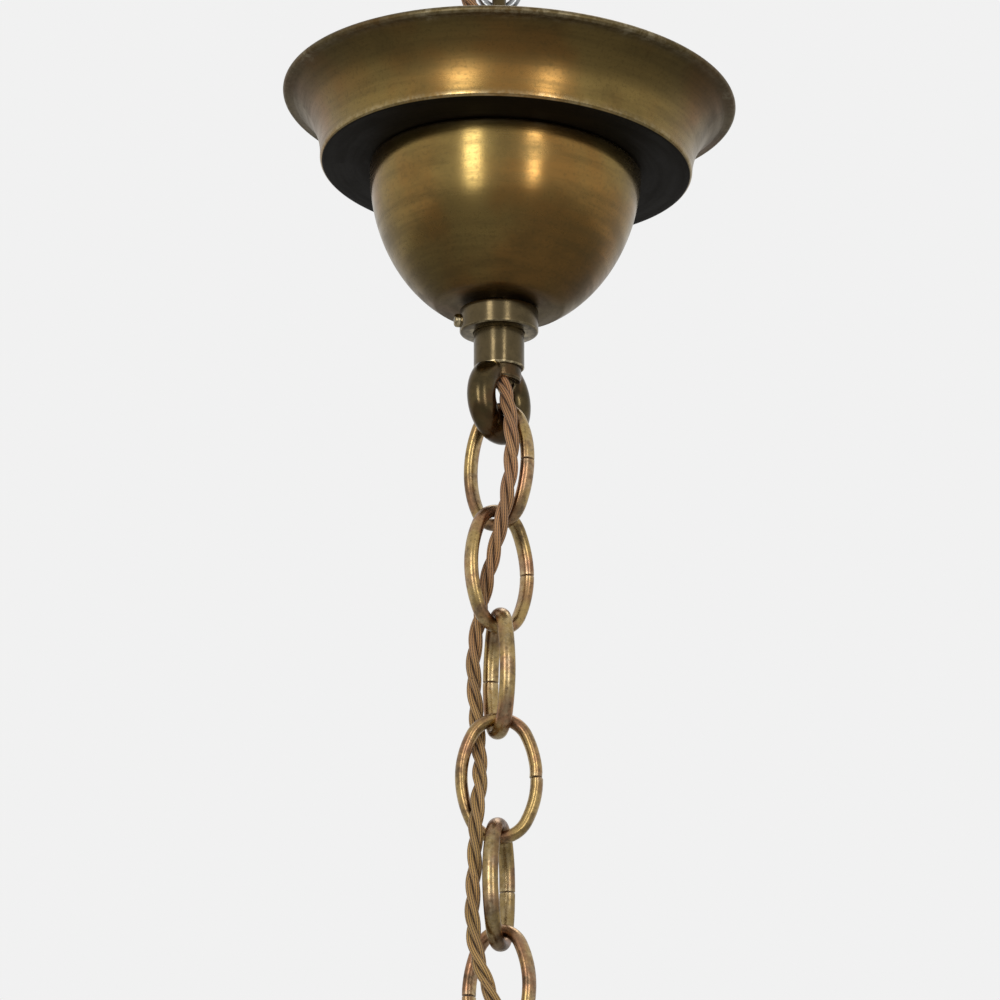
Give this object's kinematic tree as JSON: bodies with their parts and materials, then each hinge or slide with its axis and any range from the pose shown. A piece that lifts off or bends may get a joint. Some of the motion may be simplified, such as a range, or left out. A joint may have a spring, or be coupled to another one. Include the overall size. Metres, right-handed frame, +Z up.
{
  "type": "chandelier suspension",
  "caption": "Antique-bronze chandelier suspension: steel ceiling hook, flared canopy with deep cup, slip collar, cast ring, oval link chain and twisted cotton flex.",
  "frame": {"origin": "On the ceiling plane, at the foot of the hook's screw thread, on the chain's vertical axis.", "axes": "+Z up out of the ceiling along the screw; +Y away from the viewer of the pictured side; +X to the viewer's right."},
  "size_m": [0.1543, 0.1543, 0.4746],
  "materials": {
    "canopy_bronze": "aged, olive-brown patina with golden rubbed highlights",
    "turned_bronze": "aged, greyish, bright turned edges",
    "cast_bronze": "dark olive patina, smooth casting",
    "chain_bronze": "coppery gold with dark speckled patina",
    "rivet_brass": "satin",
    "brass": "machined",
    "hook_steel": "dull zinc-plated wire and strap",
    "steel": "dulled steel",
    "bush_plastic": "moulded",
    "block_plastic": "moulded",
    "core_sheath": "insulated cores",
    "flex_cotton": "twisted, braided old-gold cotton",
    "flex_whipping": "wound cotton thread"
  },
  "bodies": {
    "hanger": {"ceiling_hook": "hook_steel", "ceiling_strap": "hook_steel", "terminal_block": "block_plastic", "terminal_barrels": "brass", "terminal_screws": "steel", "block_screw": "steel", "core_ends": "core_sheath", "flex_whipping": "flex_whipping", "flex_top": "flex_cotton"},
    "stem": {"top_eye": "cast_bronze", "stem_nut": "brass", "sleeve_washer": "turned_bronze", "stem_sleeve": "turned_bronze", "threaded_tube": "brass", "tube_bushes": "bush_plastic", "stem_ring": "cast_bronze", "flex_in_stem": "flex_cotton", "flex_1": "flex_cotton"},
    "collar": {"slip_collar": "turned_bronze"},
    "set_screw": {"collar_screw": "steel"},
    "canopy": {"canopy_pan": "canopy_bronze", "canopy_cup": "canopy_bronze", "seat_washer": "turned_bronze", "canopy_rivets": "rivet_brass"},
    "link_1": {"chain_link_1": "chain_bronze", "flex_2": "flex_cotton"},
    "link_2": {"chain_link_2": "chain_bronze", "flex_3": "flex_cotton"},
    "link_3": {"chain_link_3": "chain_bronze", "flex_4": "flex_cotton"},
    "link_4": {"chain_link_4": "chain_bronze", "flex_5": "flex_cotton"},
    "link_5": {"chain_link_5": "chain_bronze", "flex_6": "flex_cotton"},
    "link_6": {"chain_link_6": "chain_bronze"},
    "lower_ring": {"body_ring": "cast_bronze", "flex_7": "flex_cotton"}
  },
  "joints": [
    {"name": "eye_swing", "type": "hinge", "parent": "hanger", "child": "stem", "pos_m": [0, 0, -0.042], "axis": [1, 0, 0], "range_deg": [-15, 15], "deforming": ["flex_top"]},
    {"name": "collar_slide", "type": "slide", "parent": "stem", "child": "collar", "axis": [0, 0, 1], "range_m": [-0.012, 0.055]},
    {"name": "collar_screw_turn", "type": "hinge", "parent": "collar", "child": "set_screw", "pos_m": [-0.01144, -0.0012, -0.1551], "axis": [-0.9945, -0.1045, 0], "range_deg": [0, 360]},
    {"name": "canopy_rock", "type": "hinge", "parent": "collar", "child": "canopy", "pos_m": [0, 0, -0.14989], "axis": [-0.6626, 0.749, 0], "range_deg": [-7, 0]},
    {"name": "link_1_swing", "type": "hinge", "parent": "stem", "child": "link_1", "pos_m": [0, 0, -0.1933], "axis": [0.5736, 0.8192, 0], "range_deg": [-30, 30], "deforming": ["flex_1"]},
    {"name": "link_2_swing", "type": "hinge", "parent": "link_1", "child": "link_2", "pos_m": [0, 0, -0.2264], "axis": [0.766, -0.6428, 0], "range_deg": [-30, 30], "deforming": ["flex_2"]},
    {"name": "link_3_swing", "type": "hinge", "parent": "link_2", "child": "link_3", "pos_m": [0, 0, -0.2622], "axis": [0.7431, 0.6691, 0], "range_deg": [-30, 30], "deforming": ["flex_3"]},
    {"name": "link_4_swing", "type": "hinge", "parent": "link_3", "child": "link_4", "pos_m": [0, 0, -0.298], "axis": [-0.225, 0.9744, 0], "range_deg": [-30, 30], "deforming": ["flex_4"]},
    {"name": "link_5_swing", "type": "hinge", "parent": "link_4", "child": "link_5", "pos_m": [0, 0, -0.3338], "axis": [1, 0, 0], "range_deg": [-30, 30], "deforming": ["flex_5"]},
    {"name": "link_6_swing", "type": "hinge", "parent": "link_5", "child": "link_6", "pos_m": [0, 0, -0.3696], "axis": [0.225, 0.9744, 0], "range_deg": [-30, 30], "deforming": ["flex_6"]},
    {"name": "lower_ring_swing", "type": "hinge", "parent": "link_6", "child": "lower_ring", "pos_m": [0, 0, -0.4054], "axis": [-0.788, 0.6157, 0], "range_deg": [-30, 30], "deforming": ["flex_7"]}
  ]
}
